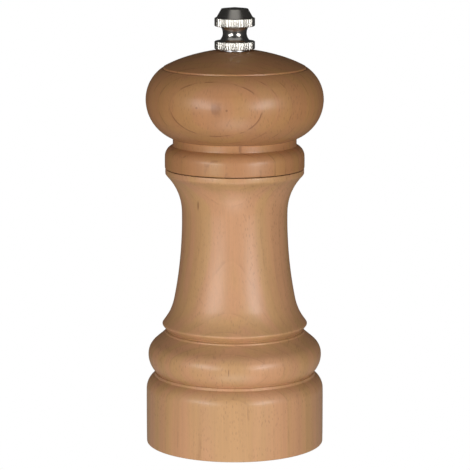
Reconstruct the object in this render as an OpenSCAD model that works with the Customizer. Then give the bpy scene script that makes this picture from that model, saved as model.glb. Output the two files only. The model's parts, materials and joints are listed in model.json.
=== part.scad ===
// Traditional wooden pepper mill: a turned barrel and a turned head, with a
// square spindle that drives a steel grinding cone inside a grinding ring.
// Millimetres, +Z up, origin in the middle of the foot's underside.
// Stored at its coarsest setting, with the spindle at its lowest.

/* [Barrel, outside] */
// Diameter of the foot
foot_d = 60; // [50:0.5:72]
// Height of the foot's straight side
foot_h = 18.4; // [15:0.1:23]
// Rounding of the foot's bottom edge
foot_edge_r = 0.5; // [0.3:0.1:1]
// Radius of the shoulder above the foot
shoulder_r = 6; // [5:0.1:7.5]
// How far round the shoulder turns, in degrees
shoulder_turn = 58; // [48:1:70]
// Height of the small fillet above the shoulder
quirk_h = 0.8; // [0.6:0.1:1]
// Depth of the step from that fillet to the bead
quirk_step = 0.5; // [0.4:0.05:0.6]
// How much smaller than the foot the bead's radius is
bead_in = 0.7; // [0.5:0.05:1]
// Radius of the bead's lower half
bead_low_r = 8; // [6.5:0.1:9.6]
// How far round the bead's lower half turns, in degrees
bead_low_turn = 48; // [40:1:58]
// Radius of the bead's upper half
bead_up_r = 6; // [5:0.1:7.2]
// How far round the bead's upper half turns, in degrees
bead_up_turn = 50; // [41:1:60]
// Height of the straight slope above the bead
bead_slope_h = 3; // [2.5:0.1:3.6]
// Height of the small fillet under the groove
groove_fillet_h = 0.45; // [0.3:0.05:0.6]
// How far that fillet stands inside the lip
groove_fillet_in = 0.9; // [0.7:0.05:1.1]
// Depth of the groove, from the lip
groove_depth = 1.6; // [1.3:0.05:2]
// How far the lip stands out from the waist
lip_out = 6.75; // [5.6:0.05:8.1]
// Rounding of the lip
lip_edge_r = 0.6; // [0.4:0.1:0.8]
// How far round the lip turns on each side of level, in degrees
lip_turn = 40; // [34:1:46]
// Radius of the cove above the lip
lip_cove_r = 18; // [15:0.5:21.6]
// How steeply that cove still leans in where the long flare begins, in degrees
lip_cove_end = 11.3; // [9.5:0.1:13.5]
// Height from the lip to the waist
flare_h = 36; // [30:0.1:44]
// Height of the straight waist
waist_h = 2; // [1.5:0.1:2.5]
// Wood between the chamber and the waist
waist_wall = 5.25; // [4.3:0.05:6.3]
// Height of the cove above the waist
cove_h = 12.75; // [10.6:0.05:15.3]
// How far the rim stands out from the waist
rim_out = 5.55; // [4.6:0.05:6.7]
// Height of the rim
rim_h = 2.15; // [1.75:0.05:2.6]
// Rounding of the rim's and the collar's edges
rim_edge_r = 0.3; // [0.2:0.05:0.4]

/* [Barrel, inside] */
// Diameter of the peppercorn chamber
chamber_d = 25; // [21:0.5:30]
// Width of the ledge that the bridge is screwed to
bridge_ledge = 4.5; // [4.2:0.1:5.4]
// Width of the step that the grinding ring stops against
ring_step = 1; // [0.8:0.1:1.2]
// Width of the ledge that the retaining ring is screwed to
plate_ledge = 4; // [3.8:0.1:4.8]
// Depth of the recess under the mechanism
recess_h = 5; // [4.2:0.1:6]
// Height of the space between the grinding ring and the bridge's ledge
feed_h = 8.6; // [7.2:0.1:10.3]

/* [Head] */
// Gap at the seam between barrel and head
seam_gap = 0.2; // [0.15:0.05:0.3]
// How far the collar stands out from the rim
collar_out = 0.15; // [0.1:0.05:0.2]
// Height of the collar's straight side
collar_h = 3.9; // [3.2:0.1:4.7]
// Radius of the shoulder above the collar
collar_shoulder_r = 4; // [3.4:0.1:4.8]
// Depth of the neck, from the collar
neck_in = 2.7; // [2.2:0.05:3.3]
// Height of the neck
neck_h = 2.4; // [2:0.1:2.9]
// How much smaller than the foot the bulge's radius is
bulge_in = 0.23; // [0.15:0.01:0.5]
// Height of the bulge's lower half
bulge_low_h = 13; // [10.8:0.1:15.6]
// Height of the bulge's upper half
bulge_up_h = 10.3; // [8.6:0.1:12.4]
// How far inside the bulge the dome's edge lies
arris_in = 5.3; // [4.4:0.1:6.4]
// Width of the ledge at the dome's edge
arris_step = 0.65; // [0.5:0.05:0.8]
// Height of the small fillet at the dome's edge
arris_h = 0.55; // [0.4:0.05:0.7]
// Height of the dome
dome_h = 5.45; // [4.5:0.05:6.5]
// Slope of the dome at its edge
dome_edge_slope = 0.54; // [0.45:0.01:0.65]
// Slope of the dome beside the nut's seat
dome_seat_slope = 0.2; // [0.15:0.01:0.25]
// Diameter of the flat seat under the nut
dome_flat_d = 14; // [13.7:0.1:16]
// Length of the tenon that goes into the chamber
tenon_len = 12; // [10:0.5:14.5]
// Clearance round the tenon
tenon_gap = 0.3; // [0.25:0.05:0.4]
// Length of the bush in the top of the head
head_bush_len = 8; // [6.5:0.5:9.5]

/* [Adjusting nut] */
// Diameter over the knurling
nut_d = 13.5; // [11:0.1:16]
// Height of the lower knurled flange
nut_low_h = 2.65; // [2.2:0.05:3.2]
// Height of the upper knurled flange
nut_up_h = 2.8; // [2.3:0.1:3.4]
// Smallest diameter of the nut's neck
nut_neck_d = 8; // [7:0.1:9.6]
// Height of the neck's lower half
nut_neck_low_h = 2.6; // [2.2:0.05:3.1]
// Height of the neck's upper half
nut_neck_up_h = 2.35; // [1.9:0.05:2.8]
// Height of the cone on top
nut_cone_h = 3; // [2.5:0.1:3.6]
// How far the cone's foot stands inside the knurling
nut_cone_in = 0.6; // [0.5:0.05:0.75]
// Diameter of the cone's top
nut_top_d = 8.9; // [7.4:0.1:10.5]
// Height of the crown on the cone's top
nut_crown_h = 0.5; // [0.4:0.05:0.6]
// Number of ridges in the knurling
knurl_count = 44; // [36:1:52]
// Depth of the knurling
knurl_depth = 0.28; // [0.22:0.01:0.34]
// Metal over the end of the thread
nut_top_wall = 2; // [1.6:0.1:2.4]
// Thickness of the washer under the nut
nut_washer_t = 0.4; // [0.3:0.05:0.5]
// How far the washer stays inside the nut's edge
nut_washer_in = 1.7; // [1.3:0.05:2.1]

/* [Spindle] */
// Width of the square bar, and diameter of its threaded end
spindle_w = 5; // [4.2:0.1:6]
// Chamfer along the bar's edges
spindle_chamfer = 0.4; // [0.3:0.05:0.5]
// How far the spindle can be drawn up
adjust_travel = 1.6; // [1.3:0.1:1.9]
// Clearance round the bar where it slides
bar_gap = 0.1; // [0.08:0.01:0.12]
// Clearance round the bar where it passes through the wood
bore_gap = 0.8; // [0.6:0.05:1]
// Running clearance of round pieces that turn
turn_gap = 0.05; // [0.03:0.01:0.08]

/* [Grinding pair] */
// Height of the grinding ring
ring_h = 12; // [10:0.5:14.5]
// Diameter of the ring's throat
throat_d = 21; // [17.5:0.5:25]
// Height of the ring's fine cone, below the throat
fine_h = 7; // [5.8:0.1:8.4]
// Slope of the fine cone: radius per height
fine_slope = 0.43; // [0.36:0.01:0.52]
// Width of the ring's flat rim
ring_rim = 2; // [1.7:0.1:2.4]
// Gap between ring and cone at the finest setting
fine_gap = 0.2; // [0.15:0.01:0.25]
// Height of the cone's coarse crown
crown_h = 3.6; // [3:0.1:4.3]
// Diameter of the cone's top
cone_top_d = 12.6; // [12.4:0.1:15]
// Number of fine teeth on the cone
cone_teeth = 30; // [25:1:36]
// Number of fine teeth in the ring
ring_teeth = 36; // [30:1:43]
// Number of coarse teeth on the cone's crown
crown_teeth = 6; // [5:1:7]
// Number of coarse teeth in the ring's funnel
funnel_teeth = 9; // [8:1:11]
// Width of a fine flute
fine_flute = 1.1; // [0.9:0.1:1.3]
// Width of a coarse flute
coarse_flute = 2.2; // [1.8:0.1:2.6]
// Lean of the flutes, in degrees
flute_lean = 18; // [15:1:22]

/* [Mountings and fasteners] */
// Thickness of the bridge
bridge_t = 1.6; // [1.3:0.1:1.9]
// Width of the bridge
bridge_w = 11; // [10:0.5:13]
// Clearance at the ends of the bridge
bridge_end_gap = 0.2; // [0.15:0.05:0.3]
// Wall of the spindle bush at the bar's corners
bush_wall = 1; // [0.8:0.1:1.2]
// Width of the bush's flange
bush_flange = 1.5; // [1.2:0.1:1.8]
// Thickness of the bush's flange
bush_flange_t = 0.6; // [0.5:0.1:0.7]
// How far the bush stands above the bridge
bush_stand = 0.8; // [0.6:0.1:1]
// Thickness of the two spring washers
spring_washer_t = 0.6; // [0.5:0.05:0.7]
// Thickness of the spring wire
spring_wire = 0.9; // [0.75:0.05:1.05]
// Number of turns in the spring
spring_turns = 4.5; // [4:0.5:5]
// Thickness of the retaining ring
plate_t = 1.2; // [1:0.1:1.4]
// Clearance between the retaining ring's hole and the grinding ring's mouth
plate_mouth = 1.7; // [1.4:0.1:2]
// Clearance round the retaining ring
plate_gap = 0.2; // [0.15:0.05:0.3]
// Thickness of the drive plate
drive_t = 1.5; // [1.3:0.1:1.8]
// How far the drive plate stays inside the tenon
drive_in = 0.7; // [0.6:0.1:0.9]
// Diameter of the washer under the grinding cone
cone_washer_d = 10; // [8.4:0.1:12]
// Thickness of the washer under the grinding cone
cone_washer_t = 0.8; // [0.7:0.05:0.9]
// Thickness of the circlip
clip_t = 0.55; // [0.45:0.05:0.65]
// How far the circlip stands out from the spindle
clip_out = 2; // [1.7:0.1:2.4]
// Width of the circlip's open side
clip_mouth = 3; // [2.5:0.1:3.6]
// Depth of the circlip's groove
clip_groove = 0.6; // [0.5:0.05:0.7]
// Length of the spindle below the circlip
spindle_tip = 0.7; // [0.6:0.1:0.8]
// Diameter of the screws
screw_d = 2.2; // [1.8:0.1:2.4]
// Diameter of the screw heads
screw_head_d = 3.6; // [3:0.1:3.8]
// Depth of the countersunk screw heads
screw_head_h = 1; // [0.8:0.05:1.1]
// Length of the screws
screw_len = 9; // [7.5:0.5:10.5]
// Clearance between pieces that sit together
seat_gap = 0.05; // [0.03:0.01:0.08]

/* [Hidden] */
$fn = 96;
eps = 0.01; // how far a cut runs past a face
margin = 1; // how far a bounding shape stands clear of what it bounds
wood = [0.78, 0.56, 0.38];
nickel = [0.78, 0.77, 0.74];
steel = [0.62, 0.63, 0.65];
dark_steel = [0.36, 0.36, 0.38];
nylon = [0.90, 0.89, 0.84];

// Radii
foot_r = foot_d / 2;
chamber_r = chamber_d / 2;
feed_r = chamber_r + bridge_ledge;
seat_r = feed_r + ring_step;
recess_r = seat_r + plate_ledge;
waist_r = chamber_r + waist_wall;
lip_r = waist_r + lip_out;
rim_r = waist_r + rim_out;
bead_r = foot_r - bead_in;
collar_r = rim_r + collar_out;
neck_r = collar_r - neck_in;
bulge_r = foot_r - bulge_in;
arris_r = bulge_r - arris_in;
dome_flat_r = dome_flat_d / 2;
tenon_r = chamber_r - tenon_gap;
corner_r = norm([spindle_w / 2, spindle_w / 2 - spindle_chamfer]);
thread_r = spindle_w / 2;
head_bore_r = corner_r + bore_gap;
nut_r = nut_d / 2;
screw_r = screw_d / 2;
screw_head_r = screw_head_d / 2;
throat_r = throat_d / 2;
ring_r = seat_r - seat_gap;
mouth_r = throat_r + fine_h * fine_slope;
funnel_r = ring_r - ring_rim;
cone_top_r = cone_top_d / 2;
bush_r = corner_r + bush_wall;
spring_in_r = corner_r + spring_wire / 2;
spring_mid_r = spring_in_r + spring_wire / 2;
spring_washer_r = spring_mid_r + spring_wire;
bridge_screw_at = (chamber_r + feed_r) / 2;
plate_screw_at = (seat_r + recess_r) / 2;
drive_screw_at = (head_bore_r + tenon_r) / 2;

// Heights of the mechanism
ring_z = recess_h;
ring_top = ring_z + ring_h;
throat_z = ring_z + fine_h;
ledge_z = ring_top + feed_h;
bridge_z = ledge_z - bridge_t;
bush_z = bridge_z - seat_gap - bush_flange_t;
upper_washer_z = bush_z - spring_washer_t;
cone_z = ring_z - adjust_travel;
crown_z = throat_z - adjust_travel;
cone_top = crown_z + crown_h;
spring_z = cone_top + spring_washer_t;
cone_washer_z = cone_z - cone_washer_t;
clip_z = cone_washer_z - clip_t;
spindle_z = clip_z - spindle_tip;

// Heights of the barrel's outline
shoulder_top = foot_h + shoulder_r * sin(shoulder_turn);
quirk_top = shoulder_top + quirk_h;
quirk_r = foot_r - shoulder_r * (1 - cos(shoulder_turn));
bead_foot = quirk_top + quirk_step / 2;
bead_z = bead_foot + bead_low_r * sin(bead_low_turn);
bead_slope_z = bead_z + bead_up_r * sin(bead_up_turn);
groove_z = bead_slope_z + bead_slope_h;
groove_mid = groove_z + groove_fillet_h + (groove_depth - groove_fillet_in) / 2;
lip_z = groove_mid + (groove_depth - lip_edge_r * (1 - cos(lip_turn))) / tan(lip_turn)
    + lip_edge_r * sin(lip_turn);
waist_z = lip_z + flare_h;
cove_z = waist_z + waist_h;
rim_z = cove_z + cove_h;
barrel_h = rim_z + rim_h;

// Heights of the head's outline
collar_z = barrel_h + seam_gap;
collar_top = collar_z + collar_h;
neck_turn = acos(1 - neck_in / collar_shoulder_r);
neck_z = collar_top + collar_shoulder_r * sin(neck_turn);
neck_top = neck_z + neck_h;
bulge_z = neck_top + bulge_low_h;
arris_z = bulge_z + bulge_up_h;
dome_z = arris_z + arris_h;
head_top = dome_z + dome_h;
tenon_z = collar_z - tenon_len;
drive_z = tenon_z - drive_t;
head_bush_z = head_top - head_bush_len;

// Heights of the nut and the spindle's top
nut_washer_z = head_top + seat_gap;
nut_z = nut_washer_z + nut_washer_t + seat_gap;
nut_neck_z = nut_z + nut_low_h + nut_neck_low_h;
nut_up_z = nut_neck_z + nut_neck_up_h;
nut_cone_z = nut_up_z + nut_up_h;
nut_top = nut_cone_z + nut_cone_h + nut_crown_h;
nut_hole_top = nut_top - nut_top_wall;
thread_end_gap = 0.8; // left free above the spindle's shoulder and its end
spindle_top = nut_hole_top - adjust_travel - thread_end_gap;
square_top = head_bush_z - adjust_travel - thread_end_gap;

// ---- Outline helpers: points are [radius, height] ----

// An arc about a centre, from angle a0 to a1
function arc(c, r, a0, a1, n = 6) =
    [for (i = [0:n]) c + r * [cos(a0 + (a1 - a0) * i / n), sin(a0 + (a1 - a0) * i / n)]];

// The arc that leaves v upright and ends at w
function upright_arc(v, w, n = 10) =
    let (d = w - v, r = (d * d) / (2 * d[0]), c = v + [r, 0])
    let (a0 = r > 0 ? 180 * sign(d[1]) : 0)
    arc(c, abs(r), a0, atan2(w[1] - c[1], w[0] - c[0]), n);

// A cubic curve from a to d, with b and c as its handles
function curve(a, b, c, d, n = 12) =
    [for (i = [0:n]) let (t = i / n, s = 1 - t)
        s * s * s * a + 3 * s * s * t * b + 3 * s * t * t * c + t * t * t * d];

// The dome, from its edge up to the nut's seat
function dome() =
    let (edge = [arris_r - arris_step, dome_z], seat = [dome_flat_r, head_top])
    let (pull = (edge[0] - seat[0]) / 3)
    curve(edge, edge + pull * [-1, dome_edge_slope], seat + pull * [1, -dome_seat_slope], seat);

function reversed(p) = [for (i = [len(p) - 1:-1:0]) p[i]];

// The flare from the lip to the waist: a cove that eases into a long curve
function flare() =
    let (start = [lip_r, lip_z] + lip_edge_r * [cos(lip_turn) - 1, sin(lip_turn)])
    let (centre = start + lip_cove_r * [cos(lip_turn), sin(lip_turn)])
    let (cove = arc(centre, lip_cove_r, 180 + lip_turn, 180 + lip_cove_end, 6))
    let (a = cove[len(cove) - 1], d = [waist_r, waist_z], reach = (d[1] - a[1]) / 3)
    concat(cove, curve(a, a + reach * [-tan(lip_cove_end), 1], d - [0, reach], d));

// ---- Shared shapes ----

// A square bar with chamfered edges
module bar(w, h, chamfer = spindle_chamfer) {
    a = w / 2;
    b = a - chamfer;
    linear_extrude(h)
        polygon([[a, -b], [a, b], [b, a], [-b, a], [-a, b], [-a, -b], [-b, -a], [b, -a]]);
}

// A round washer with a round hole
module washer(r, hole_r, t) {
    difference() {
        cylinder(r = r, h = t);
        translate([0, 0, -eps]) cylinder(r = hole_r, h = t + 2 * eps);
    }
}

// The space of a countersunk screw that points up from z = 0, with a clearance
module screw_space(gap = 0) {
    cylinder(r = screw_r + gap, h = screw_len + gap);
    translate([0, 0, -eps]) cylinder(r1 = screw_head_r + gap, r2 = screw_r + gap, h = screw_head_h);
}

// A countersunk screw with a cross recess, pointing up from z = 0
module screw() {
    slot_w = screw_head_d / 5;
    slot_l = 3 * slot_w;
    slot_depth = 0.7 * screw_head_h;
    difference() {
        rotate_extrude() polygon([[0, 0], [screw_head_r, 0], [screw_r, screw_head_h],
            [screw_r, screw_len - 2 * screw_r], [0, screw_len]]);
        for (a = [0, 90])
            rotate([0, 0, a]) cube([slot_l, slot_w, 2 * slot_depth], center = true);
    }
}

// A copy of the children at each of n places on a circle
module around(n, r) {
    for (i = [0:n - 1])
        rotate([0, 0, i * 360 / n]) translate([r, 0, 0]) children();
}

// Leaning flutes cut along a cone's surface, from one [radius, height] to another
module flutes(n, from, to, width, lean) {
    d = to - from;
    run = norm(d) + 2 * width;
    mid = (from + to) / 2;
    for (i = [0:n - 1])
        rotate([0, 0, i * 360 / n]) translate([mid[0], 0, mid[1]])
            rotate([0, atan2(d[0], d[1]), 0]) rotate([lean, 0, 0])
                rotate([0, 0, 45]) cube([width, width, run], center = true);
}

// ---- Wood ----

module barrel() {
    outline = concat(
        [[0, 0]],
        arc([foot_r - foot_edge_r, foot_edge_r], foot_edge_r, -90, 0, 3),
        arc([foot_r - shoulder_r, foot_h], shoulder_r, 0, shoulder_turn, 7),
        [[quirk_r, quirk_top]],
        arc([bead_r - bead_low_r, bead_z], bead_low_r, -bead_low_turn, 0, 7),
        arc([bead_r - bead_up_r, bead_z], bead_up_r, 0, bead_up_turn, 7),
        [[lip_r - groove_fillet_in, groove_z], [lip_r - groove_fillet_in, groove_z + groove_fillet_h],
            [lip_r - groove_depth, groove_mid]],
        arc([lip_r - lip_edge_r, lip_z], lip_edge_r, -lip_turn, lip_turn, 4),
        flare(),
        upright_arc([waist_r, cove_z], [rim_r - rim_edge_r, rim_z]),
        arc([rim_r - rim_edge_r, rim_z + 2 * rim_edge_r], rim_edge_r, -45, 0, 2),
        arc([rim_r - rim_edge_r, barrel_h - rim_edge_r], rim_edge_r, 0, 90, 3),
        [[0, barrel_h]]);
    color(wood) difference() {
        rotate_extrude() polygon(outline);
        translate([0, 0, -eps]) cylinder(r = recess_r, h = recess_h + eps);
        translate([0, 0, -eps]) cylinder(r = seat_r, h = ring_top + eps);
        translate([0, 0, -eps]) cylinder(r = feed_r, h = ledge_z + eps);
        cylinder(r = chamber_r, h = barrel_h + eps);
        translate([0, 0, ring_z - plate_t]) around(3, plate_screw_at) screw_space(seat_gap);
        translate([0, 0, bridge_z]) around(2, bridge_screw_at) screw_space(seat_gap);
    }
}

module head() {
    outline = concat(
        [[0, tenon_z]],
        arc([tenon_r - rim_edge_r, tenon_z + rim_edge_r], rim_edge_r, -90, 0, 3),
        [[tenon_r, collar_z]],
        arc([collar_r - rim_edge_r, collar_z + rim_edge_r], rim_edge_r, -90, 0, 3),
        arc([collar_r - collar_shoulder_r, collar_top], collar_shoulder_r, 0, neck_turn, 7),
        reversed(upright_arc([bulge_r, bulge_z], [neck_r, neck_top], 14)),
        upright_arc([bulge_r, bulge_z], [arris_r, arris_z], 12),
        [[arris_r - arris_step, arris_z]],
        dome(),
        [[0, head_top]]);
    color(wood) difference() {
        rotate_extrude() polygon(outline);
        translate([0, 0, tenon_z - eps]) cylinder(r = head_bore_r, h = head_top - tenon_z + 2 * eps);
        translate([0, 0, drive_z]) around(2, drive_screw_at) screw_space(seat_gap);
    }
}

// ---- Adjusting nut ----

// The flanges are turned a little wider than the ridges, which then bound them
module adjusting_nut() {
    edge = 0.75 * knurl_depth;
    over = 0.1;
    ridge_tips = [for (i = [0:2 * knurl_count - 1]) let (a = i * 180 / knurl_count)
        (nut_r - (i % 2) * knurl_depth) * [cos(a), sin(a)]];
    neck_r = nut_neck_d / 2;
    low_top = nut_z + nut_low_h;
    outline = concat(
        [[0, nut_z], [nut_r - edge, nut_z], [nut_r + over, nut_z + edge + over],
            [nut_r + over, low_top - edge - over], [nut_r - edge, low_top]],
        reversed(upright_arc([neck_r, nut_neck_z], [neck_r + nut_neck_low_h / 2, low_top], 6)),
        upright_arc([neck_r, nut_neck_z], [neck_r + nut_neck_up_h / 3, nut_up_z], 6),
        [[nut_r - edge, nut_up_z], [nut_r + over, nut_up_z + edge + over],
            [nut_r + over, nut_cone_z - edge - over], [nut_r - edge, nut_cone_z],
            [nut_r - nut_cone_in, nut_cone_z],
            [nut_top_d / 2, nut_top - nut_crown_h], [0, nut_top]]);
    color(nickel) difference() {
        intersection() {
            rotate_extrude() polygon(outline);
            translate([0, 0, nut_z - margin])
                linear_extrude(nut_top - nut_z + 2 * margin) polygon(ridge_tips);
        }
        translate([0, 0, nut_z - eps])
            cylinder(r = thread_r + turn_gap, h = nut_hole_top - nut_z + eps);
    }
}

module nut_washer() {
    color(steel) translate([0, 0, nut_washer_z])
        washer(nut_r - nut_washer_in, thread_r + bore_gap / 2, nut_washer_t);
}

// ---- Pieces fixed in the head ----

module head_bush() {
    color(nylon) translate([0, 0, head_bush_z])
        washer(head_bore_r - seat_gap, thread_r + 3 * turn_gap, head_bush_len);
}

module drive_plate() {
    color(steel) difference() {
        translate([0, 0, drive_z]) cylinder(r = tenon_r - drive_in, h = drive_t);
        translate([0, 0, drive_z - eps]) bar(spindle_w + 2 * bar_gap, drive_t + 2 * eps);
        translate([0, 0, drive_z]) around(2, drive_screw_at) screw_space(seat_gap);
    }
}

module drive_plate_screws() {
    color(steel) translate([0, 0, drive_z]) around(2, drive_screw_at) screw();
}

// ---- Spindle, spring and grinding pair ----

module spindle() {
    tip_edge = 0.5;
    color(steel) difference() {
        union() {
            translate([0, 0, cone_z]) bar(spindle_w, square_top - cone_z);
            translate([0, 0, spindle_z]) cylinder(r = thread_r, h = cone_z - spindle_z);
            translate([0, 0, square_top - eps])
                cylinder(r = thread_r, h = spindle_top - square_top - tip_edge + eps);
            translate([0, 0, spindle_top - tip_edge])
                cylinder(r1 = thread_r, r2 = thread_r - tip_edge, h = tip_edge);
        }
        translate([0, 0, clip_z]) washer(thread_r + margin, thread_r - clip_groove, clip_t);
    }
}

module spindle_bush() {
    top = ledge_z + bush_stand;
    color(nylon) difference() {
        union() {
            translate([0, 0, bush_z]) cylinder(r = bush_r + bush_flange, h = bush_flange_t);
            translate([0, 0, bush_z]) cylinder(r = bush_r, h = top - bush_z);
        }
        translate([0, 0, bush_z - eps]) bar(spindle_w + 2 * bar_gap, top - bush_z + 2 * eps);
    }
}

module upper_spring_washer() {
    color(steel) translate([0, 0, upper_washer_z])
        washer(spring_washer_r, corner_r + 2 * bar_gap, spring_washer_t);
}

module lower_spring_washer() {
    color(steel) translate([0, 0, cone_top])
        washer(spring_washer_r, corner_r + bar_gap, spring_washer_t);
}

// A helix of round wire whose two end turns close up flat
module spring() {
    sides = 8;
    steps = 16;
    r = spring_wire / 2;
    rings = spring_turns * steps;
    rise = upper_washer_z - spring_z - spring_wire - 2 * seat_gap;
    closed = 0.5;
    function height(turn) = rise * min(1, max(0, (turn - closed) / (spring_turns - 2 * closed)));
    points = [for (k = [0:rings], s = [0:sides - 1])
        let (a = 360 * k / steps, b = 360 * s / sides)
        [(spring_mid_r + r * cos(b)) * cos(a), (spring_mid_r + r * cos(b)) * sin(a),
            spring_z + seat_gap + r + height(k / steps) + r * sin(b)]];
    walls = [for (k = [0:rings - 1], s = [0:sides - 1]) let (n = (s + 1) % sides)
        [k * sides + s, k * sides + n, (k + 1) * sides + n, (k + 1) * sides + s]];
    ends = [[for (s = [sides - 1:-1:0]) s], [for (s = [0:sides - 1]) rings * sides + s]];
    color(steel) polyhedron(points, concat(walls, ends), convexity = 8);
}

module grinding_cone() {
    foot = [mouth_r - fine_gap, cone_z];
    waist = [throat_r - fine_gap, crown_z];
    top = [cone_top_r, cone_top];
    color(dark_steel) difference() {
        rotate_extrude() polygon([[0, cone_z], foot, waist, top, [0, cone_top]]);
        flutes(cone_teeth, foot, waist, fine_flute, flute_lean);
        flutes(crown_teeth, waist, top, coarse_flute, 2 * flute_lean);
        translate([0, 0, cone_z - eps]) bar(spindle_w + bar_gap, cone_top - cone_z + 2 * eps);
    }
}

module cone_washer() {
    color(steel) translate([0, 0, cone_washer_z])
        washer(cone_washer_d / 2, thread_r + bar_gap, cone_washer_t);
}

module circlip() {
    groove_gap = 0.02;
    color(dark_steel) translate([0, 0, clip_z + groove_gap]) difference() {
        washer(thread_r + clip_out, thread_r - clip_groove + groove_gap, clip_t - 2 * groove_gap);
        translate([0, -clip_mouth / 2, -eps]) cube([thread_r + clip_out + margin, clip_mouth, clip_t]);
    }
}

// ---- Pieces fixed in the barrel ----

module grinding_ring() {
    mouth = [mouth_r, ring_z];
    throat = [throat_r, throat_z];
    funnel = [funnel_r, ring_top];
    below_rim = funnel - (funnel - throat) / 4;
    color(dark_steel) difference() {
        rotate_extrude() polygon([mouth, [ring_r, ring_z], [ring_r, ring_top], funnel, throat]);
        flutes(ring_teeth, mouth, throat, fine_flute, -flute_lean);
        rotate([0, 0, 180 / ring_teeth])
            flutes(funnel_teeth, throat, below_rim, coarse_flute, -flute_lean);
    }
}

module retaining_ring() {
    color(steel) difference() {
        translate([0, 0, ring_z - plate_t])
            washer(recess_r - plate_gap, mouth_r + plate_mouth, plate_t);
        translate([0, 0, ring_z - plate_t]) around(3, plate_screw_at) screw_space(seat_gap);
    }
}

module ring_screws() {
    color(steel) translate([0, 0, ring_z - plate_t]) around(3, plate_screw_at) screw();
}

module bridge() {
    color(steel) difference() {
        intersection() {
            translate([0, 0, bridge_z]) cylinder(r = feed_r - bridge_end_gap, h = bridge_t);
            translate([-feed_r, -bridge_w / 2, bridge_z - margin])
                cube([2 * feed_r, bridge_w, bridge_t + 2 * margin]);
        }
        translate([0, 0, bridge_z - eps]) cylinder(r = bush_r + turn_gap, h = bridge_t + 2 * eps);
        translate([0, 0, bridge_z]) around(2, bridge_screw_at) screw_space(seat_gap);
    }
}

module bridge_screws() {
    color(steel) translate([0, 0, bridge_z]) around(2, bridge_screw_at) screw();
}

barrel();
head();
adjusting_nut();
nut_washer();
head_bush();
drive_plate();
drive_plate_screws();
spindle();
spindle_bush();
bridge();
bridge_screws();
grinding_ring();
retaining_ring();
ring_screws();
spring();
upper_spring_washer();
lower_spring_washer();
grinding_cone();
cone_washer();
circlip();
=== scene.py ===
# %% [markdown]
# # A turned beech pepper mill
# The frame brings every piece of the mill in its place, in metres, with the spindle along Z.
# This lesson gives the pieces their looks. The wood, the nut, the spindle and the spring are
# modelled again from the frame's own sizes, because a lathe, a die and a coiling machine
# leave shapes that the plain frame doesn't hold. The other pieces keep the frame's mesh and
# get a finish.

# %% Load the frame
import json
import math

import bmesh
import bpy
from mathutils import Matrix, Vector


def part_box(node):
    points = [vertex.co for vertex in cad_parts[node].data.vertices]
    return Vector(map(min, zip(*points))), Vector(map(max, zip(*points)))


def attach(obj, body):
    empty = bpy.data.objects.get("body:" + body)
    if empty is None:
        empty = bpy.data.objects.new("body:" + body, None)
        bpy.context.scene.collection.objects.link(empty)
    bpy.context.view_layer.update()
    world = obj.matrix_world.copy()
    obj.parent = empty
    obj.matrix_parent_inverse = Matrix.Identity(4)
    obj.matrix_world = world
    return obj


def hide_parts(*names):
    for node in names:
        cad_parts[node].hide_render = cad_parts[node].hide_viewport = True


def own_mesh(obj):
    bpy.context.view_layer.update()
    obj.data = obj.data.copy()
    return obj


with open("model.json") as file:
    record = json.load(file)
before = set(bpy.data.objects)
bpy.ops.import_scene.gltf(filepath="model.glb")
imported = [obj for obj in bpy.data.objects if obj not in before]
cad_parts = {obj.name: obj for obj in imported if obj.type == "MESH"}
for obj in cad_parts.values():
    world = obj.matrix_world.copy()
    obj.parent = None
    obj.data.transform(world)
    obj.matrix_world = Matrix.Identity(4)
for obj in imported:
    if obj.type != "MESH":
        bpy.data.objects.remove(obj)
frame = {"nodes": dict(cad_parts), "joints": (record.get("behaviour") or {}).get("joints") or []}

MM = 0.001
FULL_TURN = 2 * math.pi
AXIS = (0, 0, 1)
scene = bpy.context.scene
nodes = frame["nodes"]
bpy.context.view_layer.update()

# %% [markdown]
# ## The camera
# A catalogue picture of a small object is taken with a long lens from about a metre away and
# from a little above, so that the turned rings show as flat ellipses. A short lens close by
# would give the same framing, but it would make the head look too large for the foot.

# %% Place the camera
camera_distance = 863.5 * MM
camera_height = 223.6 * MM
camera_side = 0.1 * MM
camera_pitch = math.radians(10.015)

camera_data = bpy.data.cameras.new("camera")
camera_data.sensor_width = 36
camera_data.lens = 199.4
camera = bpy.data.objects.new("camera", camera_data)
camera.location = (camera_side, -camera_distance, camera_height)
camera.rotation_euler = (math.radians(90) - camera_pitch, 0, 0)
scene.collection.objects.link(camera)
scene.camera = camera
scene.view_settings.view_transform = "Standard"
print("camera:", camera_data.lens, "mm lens")

# %% [markdown]
# ## Sums on shader sockets
# A material is arithmetic on coordinates, and arithmetic reads best as arithmetic. One small
# class wraps an output socket and overloads the operators, so that `1 - mask` adds the Math
# node by itself. Drawing every node by hand gives the same tree, but nobody can read it back.

# %% A socket that can be added and multiplied
class Link:
    """A node's output that takes part in Python sums."""

    def __init__(self, finish, socket):
        self.finish = finish
        self.socket = socket

    def math(self, operation, *terms):
        return self.finish.add("Math", {"operation": operation}, dict(enumerate(terms)))

    def __add__(self, other):
        return self.math("ADD", self, other)

    __radd__ = __add__

    def __sub__(self, other):
        return self.math("SUBTRACT", self, other)

    def __rsub__(self, other):
        return self.math("SUBTRACT", other, self)

    def __mul__(self, other):
        return self.math("MULTIPLY", self, other)

    __rmul__ = __mul__

    def __truediv__(self, other):
        return self.math("DIVIDE", self, other)

    def __abs__(self):
        return self.math("ABSOLUTE", self)


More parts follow.
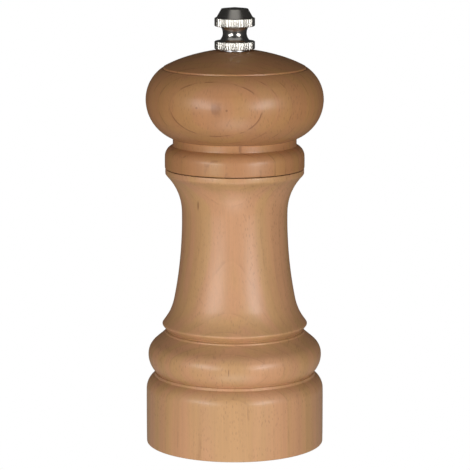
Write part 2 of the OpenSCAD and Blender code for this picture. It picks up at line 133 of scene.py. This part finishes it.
# %% A finish: one node tree, and one method that adds any node
class Finish:
    """A node tree that ends in a surface."""

    def __init__(self, owner):
        owner.use_nodes = True
        self.owner = owner
        self.tree = owner.node_tree
        self.tree.nodes.clear()

    def add(self, kind, settings=None, inputs=None, output=0):
        """Adds a node, sets it, feeds its inputs and gives back one output."""
        node = self.tree.nodes.new("ShaderNode" + kind)
        for name, value in (settings or {}).items():
            setattr(node, name, value)
        for name, value in (inputs or {}).items():
            if isinstance(value, Link):
                self.tree.links.new(value.socket, node.inputs[name])
            else:
                node.inputs[name].default_value = value
        return Link(self, node.outputs[output]) if node.outputs else None

    def coordinates(self, output="Object"):
        return self.add("TexCoord", output=output)

    def stretch(self, vector, factors):
        """A vector with each part multiplied by its own factor."""
        return self.add("VectorMath", {"operation": "MULTIPLY"}, {0: vector, 1: factors})

    def scale(self, colour, factor):
        """A colour made lighter or darker by a factor."""
        return self.add("VectorMath", {"operation": "SCALE"}, {0: colour, "Scale": factor})

    def join(self, x, y, z):
        return self.add("CombineXYZ", inputs={"X": x, "Y": y, "Z": z})

    def part(self, vector, letter):
        return self.add("SeparateXYZ", inputs={"Vector": vector}, output=letter)

    def noise(self, vector, detail=2.0, roughness=0.5):
        inputs = {"Vector": vector, "Scale": 1.0, "Detail": detail, "Roughness": roughness}
        return self.add("TexNoise", inputs=inputs)

    def ease(self, value, low, high, start=0.0, end=1.0):
        """Goes smoothly from start to end while the value goes from low to high."""
        inputs = {"Value": value, "From Min": low, "From Max": high}
        inputs.update({"To Min": start, "To Max": end})
        return self.add("MapRange", {"interpolation_type": "SMOOTHSTEP"}, inputs)

    def mix(self, factor, first, second):
        """A colour between two others."""
        inputs = {0: factor, 6: first, 7: second}
        return self.add("Mix", {"data_type": "RGBA"}, inputs, output=2)

    def bump(self, height, depth, strength=1.0):
        inputs = {"Height": height, "Distance": depth, "Strength": strength}
        return self.add("Bump", inputs=inputs)

    def surface(self, **inputs):
        """Ends the tree in a Principled surface. Underscores stand for spaces."""
        named = {name.replace("_", " "): value for name, value in inputs.items()}
        shader = self.add("BsdfPrincipled", inputs=named)
        self.add("OutputMaterial", inputs={"Surface": shader})
        return self.owner


def new_finish(name):
    return Finish(bpy.data.materials.new(name))


print("shader sums are ready")

# %% [markdown]
# ## The studio
# The mill stands on a white sweep that is lit until it is as bright as paper, between two
# wide softboxes that lean towards each other. Their reflections are the two pale, slanting
# patches on every round moulding. The camera sees white everywhere, but the mill doesn't: for
# it the paper ends soon after its foot and the room is dark. That is what makes the wood turn
# away so roundly and keeps its outline crisp. An even white room would bleach every edge.
# The floor lets light through from below, for the low light and for views of the underside.

# %% The white floor and the dim room
floor_size = 12.0
paper_white = 1.0
room_grey = 0.045
fill_grey = 0.09
bounce = 0.20
paper_edge = (0.06, 0.30)

floor_mesh = bpy.data.meshes.new("floor")
shape = bmesh.new()
bmesh.ops.create_grid(shape, x_segments=1, y_segments=1, size=floor_size / 2)
shape.to_mesh(floor_mesh)
shape.free()
floor = bpy.data.objects.new("floor", floor_mesh)
scene.collection.objects.link(floor)
floor.visible_shadow = False

paper = new_finish("paper")
seen = paper.add("LightPath", output="Is Camera Ray")
away = paper.add("VectorMath", {"operation": "LENGTH"}, {0: paper.coordinates()}, "Value")
lit = paper.ease(away, *paper_edge, bounce, room_grey)
glow = paper.add("Emission", inputs={"Strength": lit + seen * (paper_white - lit)})
back = paper.add("NewGeometry", output="Backfacing")
clear = paper.add("BsdfTransparent")
one_way = paper.add("MixShader", inputs={0: back, 1: glow, 2: clear})
paper.add("OutputMaterial", inputs={"Surface": one_way})
floor_mesh.materials.append(paper.owner)

scene.world = bpy.data.worlds.new("room")
room = Finish(scene.world)
seen = room.add("LightPath", output="Is Camera Ray")
diffuse = room.add("LightPath", output="Is Diffuse Ray")
brightness = room_grey + seen * (paper_white - room_grey) + diffuse * (fill_grey - room_grey)
air = room.add("Background", inputs={"Strength": brightness})
room.add("OutputWorld", inputs={"Surface": air})
print("floor:", floor_size, "m wide")


# %% The lights
def panel(name, azimuth, elevation, distance, size, power, lean=0, aim=0.09):
    """A flat rectangular light that looks at a height on the mill's axis."""
    data = bpy.data.lights.new(name, "AREA")
    data.shape = "RECTANGLE"
    data.size, data.size_y = size
    data.energy = power
    light = bpy.data.objects.new(name, data)
    turn, rise = math.radians(azimuth), math.radians(elevation)
    across = distance * math.cos(rise)
    light.location = (
        across * math.sin(turn), -across * math.cos(turn), aim + distance * math.sin(rise))
    towards = Vector((0, 0, aim)) - light.location
    upright = towards.to_track_quat("-Z", "Y").to_matrix()
    light.rotation_euler = (upright @ Matrix.Rotation(math.radians(lean), 3, "Z")).to_euler()
    light.visible_camera = False
    scene.collection.objects.link(light)


panel("left_softbox", -38, 6, 0.95, (0.60, 0.26), 3.7, lean=-22)
panel("right_softbox", 37, 6, 0.95, (0.46, 0.26), 3.7, lean=34)
panel("low_light", 0, -45, 0.9, (0.5, 0.5), 2.6)
panel("ceiling", 0, 60, 1.4, (3.0, 0.8), 2.9)

# %% [markdown]
# ## Beech
# Beech is a pale wood with a thin dark line at the end of each year's growth and countless
# short brown rays, which show as dashes where the cut faces the bark and as wider flakes on
# the sides. Painting lines on the surface would look like wallpaper. Here the wood fills
# space as a tree does: distance from the pith counts the rings, the angle round the pith and
# the height place the rays, and the turned shape cuts through them, so that loops and arches
# come out where a lathe would lay them bare.

# %% The beech finish
beech_tones = {
    "barrel": ((0.60, 0.331, 0.144, 1), (0.63, 0.322, 0.161, 1)),
    "head": ((0.51, 0.252, 0.094, 1), (0.52, 0.24, 0.10, 1)),
}
late_beech = (0.23, 0.085, 0.03, 1)
ray_brown = (0.26, 0.11, 0.045, 1)
shade_strength = 0.04
ray_strength = 0.30
fleck_strength = 0.62


def beech(name, pith, lean, ring_width, shift, line_strength, flecks):
    """Beech whose pith stands at (x, y) millimetres from the spindle.

    shift moves the rings outward. Each fleck is a dark spot: x, z, half width, half height.
    """
    wood = new_finish(name + "_beech")
    here = wood.stretch(wood.coordinates(), (1 / MM,) * 3)
    turn = (math.radians(lean[0]), math.radians(lean[1]), 0)
    settings = {"Location": (-pith[0], -pith[1], 0), "Rotation": turn}
    place = wood.add("Mapping", inputs={"Vector": here, **settings})
    x, y, z = (wood.part(place, letter) for letter in "XYZ")

    # How far along its ring, out from the pith and up the tree a point lies.
    radius = (x * x + y * y).math("SQRT", x * x + y * y)
    arc = x.math("ARCTAN2", y, x) * math.hypot(*pith)
    wander = wood.noise(wood.stretch(place, (0.05, 0.05, 0.02)), detail=2.0) - 0.5
    count = (radius - shift + wander * 1.1) / ring_width
    within = count.math("FRACT", count)
    ring = count.math("FLOOR", count)
    strength = wood.add("TexWhiteNoise", {"noise_dimensions": "1D"}, {"W": ring})

    # The year's end is a soft shade and then a sharp dark line, broken into strokes.
    shade = wood.ease(within, 0.45, 0.97)
    sharp = wood.ease(within, 0.968, 0.992, 1.0, 0.0)
    line = wood.ease(within, 0.86, 0.962) * sharp
    strokes = wood.noise(wood.join(arc * 0.30, radius * 0.9, z * 0.20), detail=2.5)
    line = line * wood.ease(strokes, 0.46, 0.60, 0.06, 1.0) * (0.45 + strength * 0.55)

    # Rays: short dashes up the tree, thin along the ring and deep towards the pith.
    ray_place = wood.join(arc * 1.9, radius * 0.09, z * 0.50)
    ray = wood.add("TexVoronoi", inputs={"Vector": ray_place, "Scale": 1.0})
    ray = wood.ease(ray, 0.16, 0.36, 1.0, 0.0)
    ray_patch = wood.noise(wood.stretch(place, (0.09, 0.09, 0.05)), detail=2.0)
    ray = ray * wood.ease(ray_patch, 0.40, 0.62, 0.25, 1.0)

    # Fibres run straight up the tree, in fine streaks and in broad soft stripes.
    fibre = wood.noise(wood.join(arc * 1.7, radius * 1.7, z * 0.04), detail=4.0, roughness=0.62)
    stripe = wood.noise(wood.join(arc * 0.20, radius * 0.24, z * 0.008), detail=2.5)
    tone = wood.noise(wood.join(arc * 0.12 + 40.0, radius * 0.30, z * 0.006), detail=2.0)
    spot = 0.0
    for fleck_x, fleck_z, wide, high in flecks:
        across = (wood.part(here, "X") - fleck_x) / wide
        along = (wood.part(here, "Z") - fleck_z) / high
        reach = across.math("SQRT", across * across + along * along)
        spot = wood.ease(reach, 0.35, 1.0, 1.0, 0.0) + spot

    colour = wood.mix(wood.ease(tone, 0.38, 0.62), *beech_tones[name])
    colour = wood.mix(shade * shade_strength * sharp, colour, late_beech)
    colour = wood.mix(line * line_strength, colour, late_beech)
    colour = wood.mix(ray * ray_strength, colour, ray_brown)
    colour = wood.mix(spot * fleck_strength, colour, late_beech)
    upright = abs(wood.part(wood.coordinates("Normal"), "Z"))
    end_grain = wood.ease(upright, 0.3, 1.0)
    colour = wood.scale(colour, 0.80 + fibre * 0.24 + stripe * 0.18)
    colour = wood.scale(colour, 1.0 - end_grain * 0.22)
    relief = fibre * 0.6 - line * 0.5 - ray * 0.7
    return wood.surface(
        Base_Color=colour,
        Roughness=0.42 + fibre * 0.16,
        Normal=wood.bump(relief, 0.03 * MM, 0.5),
        Coat_Weight=0.45 - end_grain * 0.25,
        Coat_Roughness=0.30,
        IOR=1.5,
    )


head_beech = beech(
    "head", (32.9, 136.1), (0.6, -0.4), 3.3, -0.48, 0.85,
    ((-12.4, 117.6, 0.5, 0.5), (-2.6, 117.0, 0.55, 0.55)))
barrel_beech = beech(
    "barrel", (14.0, 118.0), (-0.5, 0.8), 2.9, 0.0, 0.25,
    ((-12.1, 83.4, 0.35, 2.2), (19.2, 65.0, 0.4, 5.0), (-2.0, 30.2, 0.25, 1.6)))
print("beech: two blanks from one plank")

# %% [markdown]
# ## Turned wood
# A turner cuts the barrel and the head from square blanks on a lathe, with a gouge for the
# coves and a skew for the crisp quirks. Blender's spin does what the lathe does. The outline
# comes from the frame: a copy of the node is cut by an upright plane, and the cut's line is
# the outline, which keeps the wood at the frame's exact sizes. A freehand outline could look
# as good, but it would no longer fit the pieces inside.


# %% Cut an outline from a node and spin it
def node_outline(node):
    """The line along which a node crosses the plane x = 0, on the side of +Y."""
    shape = bmesh.new()
    shape.from_mesh(nodes[node].data)
    bmesh.ops.remove_doubles(shape, verts=shape.verts, dist=0.001 * MM)
    everything = shape.verts[:] + shape.edges[:] + shape.faces[:]
    bmesh.ops.bisect_plane(
        shape, geom=everything, plane_co=(0, 0, 0), plane_no=(1, 0, 0), dist=0.0001 * MM,
        clear_inner=True, clear_outer=True)
    bmesh.ops.bisect_plane(
        shape, geom=shape.verts[:] + shape.edges[:], plane_co=(0, 0, 0), plane_no=(0, 1, 0),
        dist=0.0001 * MM, clear_inner=True)
    bmesh.ops.remove_doubles(shape, verts=shape.verts, dist=0.01 * MM)
    bmesh.ops.dissolve_limit(
        shape, angle_limit=math.radians(0.5), verts=shape.verts, edges=shape.edges)
    return shape


def spin_outline(shape, steps):
    """Turns an outline once round the spindle's axis into a closed skin."""
    bmesh.ops.spin(
        shape, geom=shape.verts[:] + shape.edges[:], cent=(0, 0, 0), axis=AXIS,
        angle=FULL_TURN, steps=steps, use_merge=True)
    bmesh.ops.remove_doubles(shape, verts=shape.verts, dist=0.0005 * MM)
    bmesh.ops.recalc_face_normals(shape, faces=shape.faces)


def round_edges(shape, width, sharper_than, segments=2):
    """Takes the knife edge off every crisp corner."""
    limit = math.radians(sharper_than)
    crisp = [e for e in shape.edges if e.is_manifold and e.calc_face_angle() > limit]
    bmesh.ops.bevel(
        shape, geom=crisp, offset=width, offset_type="OFFSET", segments=segments,
        profile=0.5, affect="EDGES", clamp_overlap=True, material=-1)


def finish_piece(name, shape, material, body, slot, *stands_for):
    """Turns a bmesh into a smooth piece that rides on a body of the frame."""
    for face in shape.faces:
        face.smooth = True
    mesh = bpy.data.meshes.new(name)
    shape.to_mesh(mesh)
    shape.free()
    mesh.materials.append(material)
    piece = bpy.data.objects.new(name, mesh)
    scene.collection.objects.link(piece)
    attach(piece, body)
    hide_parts(*stands_for)
    print(name + ":", len(mesh.polygons), "faces")
    return piece


def refine(piece):
    """Rounds the skin once more, and keeps its flat faces flat in the light."""
    rounder = piece.modifiers.new("rounder", "SUBSURF")
    rounder.levels = rounder.render_levels = 1
    level = piece.modifiers.new("level", "WEIGHTED_NORMAL")
    level.keep_sharp = True


# %% The barrel and the head
lathe_steps = 128
skew_edge = 0.12 * MM


def turned_wood(name, node, material, body, slot):
    shape = node_outline(node)
    spin_outline(shape, lathe_steps)
    round_edges(shape, skew_edge, 35)
    refine(finish_piece(name, shape, material, body, slot, node))


turned_wood("turned_barrel", "barrel", barrel_beech, "barrel", "beech")
turned_wood("turned_head", "head", head_beech, "head", "beech_head")

# %% [markdown]
# ## Metal and nylon
# The small parts come from different shops: the nut is turned and nickel plated, the plates
# are pressed from zinc plated sheet, the bar is drawn, and the grinding pair is machined and
# hardened. What tells them apart is less the colour than the fine marks that each process
# leaves, so one function makes every metal and only the direction of its marks changes.


# %% Metals told apart by their marks
def metal(name, colour, rough, marks, spread=0.12, depth=0.004, tint=0.12):
    """A metal with fine marks: how quickly they change along radius, angle and height."""
    steel = new_finish(name)
    place = steel.stretch(steel.coordinates(), (1 / MM,) * 3)
    x, y, z = (steel.part(place, letter) for letter in "XYZ")
    radius = x.math("SQRT", x * x + y * y)
    angle = x.math("ARCTAN2", y, x)
    grain_place = steel.join(radius * marks[0], angle * marks[1], z * marks[2])
    grain = steel.noise(grain_place, detail=3.0, roughness=0.6)
    cloud = steel.noise(steel.stretch(place, (0.25,) * 3), detail=3.0)
    return steel.surface(
        Base_Color=steel.scale(colour, 1.0 - tint + cloud * 2 * tint),
        Metallic=1.0,
        Roughness=rough + (grain - 0.5) * spread + (cloud - 0.5) * spread,
        Normal=steel.bump(grain, depth * MM, 0.6),
    )


nickel = metal("nickel_plate", (0.62, 0.59, 0.54), 0.22, (6.0, 0.3, 6.0), 0.08, 0.002)
zinc = metal("zinc_plate", (0.60, 0.61, 0.63), 0.34, (2.0, 2.0, 2.0))
screw_zinc = metal("screw_zinc", (0.56, 0.54, 0.47), 0.30, (5.0, 5.0, 5.0))
drawn = metal("drawn_bar", (0.58, 0.58, 0.58), 0.28, (5.0, 8.0, 0.15))
hardened = metal("hardened_steel", (0.20, 0.20, 0.21), 0.38, (4.0, 1.0, 4.0), 0.15)
wire = metal("spring_wire", (0.34, 0.33, 0.32), 0.30, (3.0, 3.0, 3.0))


def moulded_nylon():
    nylon = new_finish("moulded_nylon")
    place = nylon.stretch(nylon.coordinates(), (1 / MM,) * 3)
    grain = nylon.noise(nylon.stretch(place, (3.0,) * 3), detail=2.0)
    cloud = nylon.noise(nylon.stretch(place, (0.3,) * 3), detail=2.0)
    return nylon.surface(
        Base_Color=nylon.mix(cloud, (0.78, 0.76, 0.68, 1), (0.70, 0.67, 0.58, 1)),
        Roughness=0.42 + grain * 0.12,
        Normal=nylon.bump(grain, 0.006 * MM, 0.4),
        Subsurface_Weight=0.15,
        Subsurface_Radius=(0.002, 0.002, 0.0015),
    )


nylon = moulded_nylon()
print("finishes:", len(bpy.data.materials))

# %% Give the frame's own pieces their finish
finishes = {
    "nut_washer": zinc, "drive_plate": zinc, "bridge": zinc, "retaining_ring": zinc,
    "upper_spring_washer": zinc, "lower_spring_washer": zinc, "cone_washer": zinc,
    "drive_plate_screws": screw_zinc, "bridge_screws": screw_zinc, "ring_screws": screw_zinc,
    "head_bush": nylon, "spindle_bush": nylon,
    "grinding_ring": hardened, "grinding_cone": hardened, "circlip": wire,
}
for node, material in finishes.items():
    nodes[node].data.materials.clear()
    nodes[node].data.materials.append(material)
print("finished as they are:", len(finishes), "pieces")

# %% [markdown]
# ## The adjusting nut
# The nut is turned from bar. Two flanges are knurled, so that fingertips can turn it, with a
# waisted neck between them and a cone on top. A pattern in the bump alone would leave the
# flanges' outline smooth, so the ridges are real: the outline is spun in eight steps for each
# ridge, and the flanges' rims are pushed in between the ridges.

# %% Spin the nut and press the ridges into it
ridge_count = 44
steps_per_ridge = 8
ridge_depth = 0.28 * MM
nut_edge = 0.06 * MM

shape = node_outline("adjusting_nut")
spin_outline(shape, ridge_count * steps_per_ridge)
round_edges(shape, nut_edge, 30)
nut_radius = max(v.co.xy.length for v in shape.verts)
for vert in shape.verts:
    angle = math.atan2(vert.co.y, vert.co.x)
    valley = 1 - abs(math.cos(angle * ridge_count / 2))
    limit = nut_radius - ridge_depth * valley
    if vert.co.xy.length > limit:
        vert.co.xy *= limit / vert.co.xy.length
finish_piece("knurled_nut", shape, nickel, "nut", "nickel", "adjusting_nut")

# %% [markdown]
# ## The spindle
# The spindle is a drawn square bar. Its top is turned round and threaded for the nut, and a
# groove near its foot takes the circlip. The frame has a plain cylinder where the thread is.
# A screw modifier could wind a thread, but spin with a rise on every step does it directly:
# one pitch of the thread's outline climbs by one pitch a turn, so each turn's lower edge
# meets the upper edge of the turn below and can be merged with it.

# %% Measure the bar on its node
spindle_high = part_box("spindle")[1]
bar_half = spindle_high.x
bar_corners = [v.co for v in nodes["spindle"].data.vertices if v.co.xy.length > 1.1 * bar_half]
bar_bottom = min(c.z for c in bar_corners)
bar_top = max(c.z for c in bar_corners)
bar_chamfer = 0.4 * MM
foot_steps = 64
thread_pitch = 0.8 * MM
thread_lead_in = 0.5 * MM
print("bar:", round(2 * bar_half / MM, 2), "mm square, top at", round(bar_top / MM, 2), "mm")


# %% Draw the bar, turn its foot and wind its thread
def square_bar(shape, half, chamfer, bottom, top):
    """A square bar with chamfered edges."""
    ends = bmesh.ops.create_grid(
        shape, x_segments=1, y_segments=1, size=half, matrix=Matrix.Translation((0, 0, bottom)))
    bmesh.ops.bevel(
        shape, geom=ends["verts"], offset=chamfer * math.sqrt(2) / 2, offset_type="WIDTH",
        segments=1, profile=0.5, affect="VERTICES", clamp_overlap=True, material=-1)
    raised = bmesh.ops.extrude_face_region(shape, geom=shape.faces[:], use_keep_orig=True)
    top_verts = [g for g in raised["geom"] if isinstance(g, bmesh.types.BMVert)]
    bmesh.ops.translate(shape, verts=top_verts, vec=(0, 0, top - bottom))
    bmesh.ops.recalc_face_normals(shape, faces=shape.faces)


def wind_thread(radius, pitch, bottom, top, lead_in, steps=36):
    """A threaded rod with flat ends and a chamfered tip."""
    shape = bmesh.new()
    depth = 0.6 * pitch
    turns = math.ceil((top - bottom) / pitch) + 2
    outline = [(radius - depth, 0), (radius - depth, 0.12), (radius, 0.5), (radius, 0.62),
               (radius - depth, 1)]
    verts = [shape.verts.new((r, 0, bottom + (h - 1.5) * pitch)) for r, h in outline]
    for lower, upper in zip(verts, verts[1:]):
        shape.edges.new((lower, upper))
    bmesh.ops.spin(
        shape, geom=shape.verts[:] + shape.edges[:], cent=(0, 0, 0), axis=AXIS,
        angle=turns * FULL_TURN, steps=turns * steps, dvec=(0, 0, pitch / steps))
    bmesh.ops.remove_doubles(shape, verts=shape.verts, dist=0.001 * MM)
    for height, side in ((bottom, -1), (top, 1)):
        everything = shape.verts[:] + shape.edges[:] + shape.faces[:]
        bmesh.ops.bisect_plane(
            shape, geom=everything, plane_co=(0, 0, height), plane_no=(0, 0, side),
            clear_outer=True)
        bmesh.ops.holes_fill(shape, edges=[e for e in shape.edges if e.is_boundary])
    for vert in shape.verts:
        limit = radius - max(0, vert.co.z - (top - lead_in))
        if vert.co.xy.length > limit:
            vert.co.xy *= limit / vert.co.xy.length
    bmesh.ops.recalc_face_normals(shape, faces=shape.faces)
    return shape


def add_to(shape, other):
    """Puts a second shape into the first."""
    carrier = bpy.data.meshes.new("carrier")
    other.to_mesh(carrier)
    other.free()
    shape.from_mesh(carrier)
    bpy.data.meshes.remove(carrier)


bar = bmesh.new()
square_bar(bar, bar_half, bar_chamfer, bar_bottom, bar_top)
foot = node_outline("spindle")
everything = foot.verts[:] + foot.edges[:]
bmesh.ops.bisect_plane(
    foot, geom=everything, plane_co=(0, 0, bar_bottom + 0.01 * MM), plane_no=AXIS,
    clear_outer=True)
spin_outline(foot, foot_steps)
add_to(bar, foot)
add_to(bar, wind_thread(bar_half, thread_pitch, bar_top, spindle_high.z, thread_lead_in))
finish_piece("threaded_spindle", bar, drawn, "grinder", "spindle_steel", "spindle")

# %% [markdown]
# ## The spring
# The spring sits between the bush and the cone and pushes the cone down, away from the
# grinding ring. It is wound from round wire, with its two end turns closed so that it stands
# flat. The same spin with a rise winds it from a circle. The real spring shortens towards its
# fixed upper end when the nut draws the cone up; here it is wound once, at its length at rest.

# %% Wind the spring
wire_radius = 0.45 * MM
spring_low, spring_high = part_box("spring")
spring_radius = spring_high.y - wire_radius
spring_turns = 4.5
closed_turns = 0.5
coil_steps = 48
wire_sides = 12
spring_travel = next(j["range_m"][1] for j in frame["joints"] if j["name"] == "spindle_rise")
rise = spring_high.z - spring_low.z - 2 * wire_radius

shape = bmesh.new()
section = Matrix.Translation((spring_radius, 0, spring_low.z + wire_radius))
section = section @ Matrix.Rotation(math.radians(90), 4, "X")
bmesh.ops.create_circle(shape, radius=wire_radius, segments=wire_sides, matrix=section)
end = shape.verts[:] + shape.edges[:]
open_turns = spring_turns - 2 * closed_turns
for turns, climb in ((closed_turns, 0), (open_turns, rise), (closed_turns, 0)):
    steps = round(turns * coil_steps)
    wound = bmesh.ops.spin(
        shape, geom=end, cent=(0, 0, 0), axis=AXIS, angle=turns * FULL_TURN, steps=steps,
        dvec=(0, 0, climb / steps))
    end = wound["geom_last"]
bmesh.ops.holes_fill(shape, edges=[e for e in shape.edges if e.is_boundary])
bmesh.ops.recalc_face_normals(shape, faces=shape.faces)
spring = finish_piece("wound_spring", shape, wire, "drive", "spring_steel", "spring")
spring_length = spring_high.z - spring_low.z
1 - spring_travel / spring_length
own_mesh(spring)
print("spring:", round(spring_length / MM, 2), "mm long at rest")
